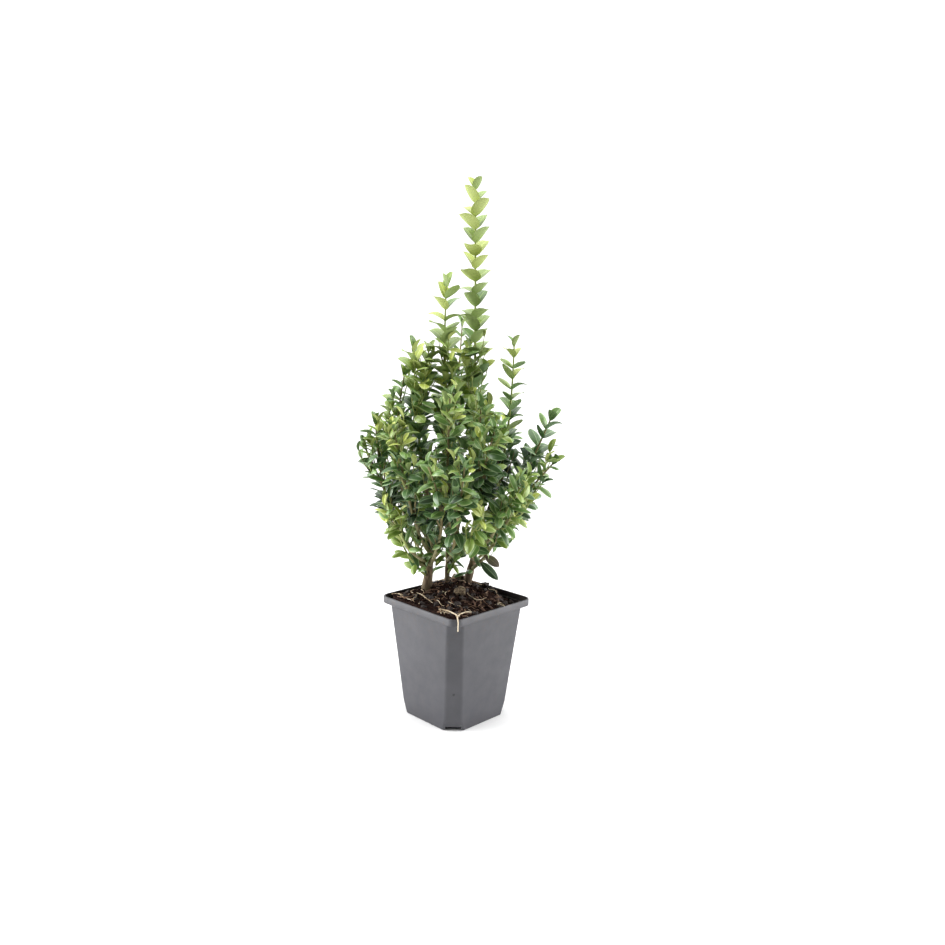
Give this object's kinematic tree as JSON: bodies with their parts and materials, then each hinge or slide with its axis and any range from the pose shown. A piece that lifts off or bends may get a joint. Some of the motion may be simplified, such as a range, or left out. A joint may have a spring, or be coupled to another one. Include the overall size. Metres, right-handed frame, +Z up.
{
  "type": "potted young boxwood shrub",
  "caption": "Young upright evergreen shrub with a tall leading shoot, slim stems and small paired leaves, growing in a square tapered nursery pot.",
  "frame": {"origin": "centre of the pot's flat underside, at the level it stands on", "axes": "+Z up along the plant's height; -Y towards the corner of the pot that faces the viewer, +X to the viewer's right"},
  "size_m": [0.1666, 0.1531, 0.4344],
  "materials": {
    "pot_plastic": "moulded, satin charcoal grey",
    "compost": "moist peat compost with bark chips",
    "bark": "thin fissured bark",
    "foliage": "small glossy leaves"
  },
  "bodies": {
    "root": {"back_centre": "foliage", "back_inner": "foliage", "back_left": "foliage", "back_right": "foliage", "back_upper": "foliage", "bough_back": "bark", "bough_centre_right": "bark", "bough_far_left": "bark", "bough_far_right": "bark", "bough_front": "bark", "bough_front_upper": "bark", "bough_left_back": "bark", "bough_left_back_low": "bark", "bough_left_front": "bark", "bough_left_inner": "bark", "bough_left_low": "bark", "bough_left_shoulder": "bark", "bough_lower_front": "bark", "bough_right_back": "bark", "bough_right_back_low": "bark", "bough_right_front": "bark", "bough_right_low": "bark", "bough_right_mid": "bark", "bough_right_spire": "bark", "centre_right": "foliage", "far_left": "foliage", "far_right": "foliage", "front_centre": "foliage", "front_left": "foliage", "front_upper": "foliage", "leader": "foliage", "left_back_low": "foliage", "left_front": "foliage", "left_low": "foliage", "left_shoulder": "foliage", "left_spire": "foliage", "lower_front": "foliage", "lower_inner": "foliage", "lower_left": "foliage", "lower_middle": "foliage", "pot": "pot_plastic", "right_back_low": "foliage", "right_front": "foliage", "right_low": "foliage", "right_mid": "foliage", "right_shoulder": "foliage", "right_spire": "foliage", "second_spire": "foliage", "soil": "compost", "trunk_left": "bark", "trunk_middle": "bark", "trunk_right": "bark"}
  },
  "joints": []
}
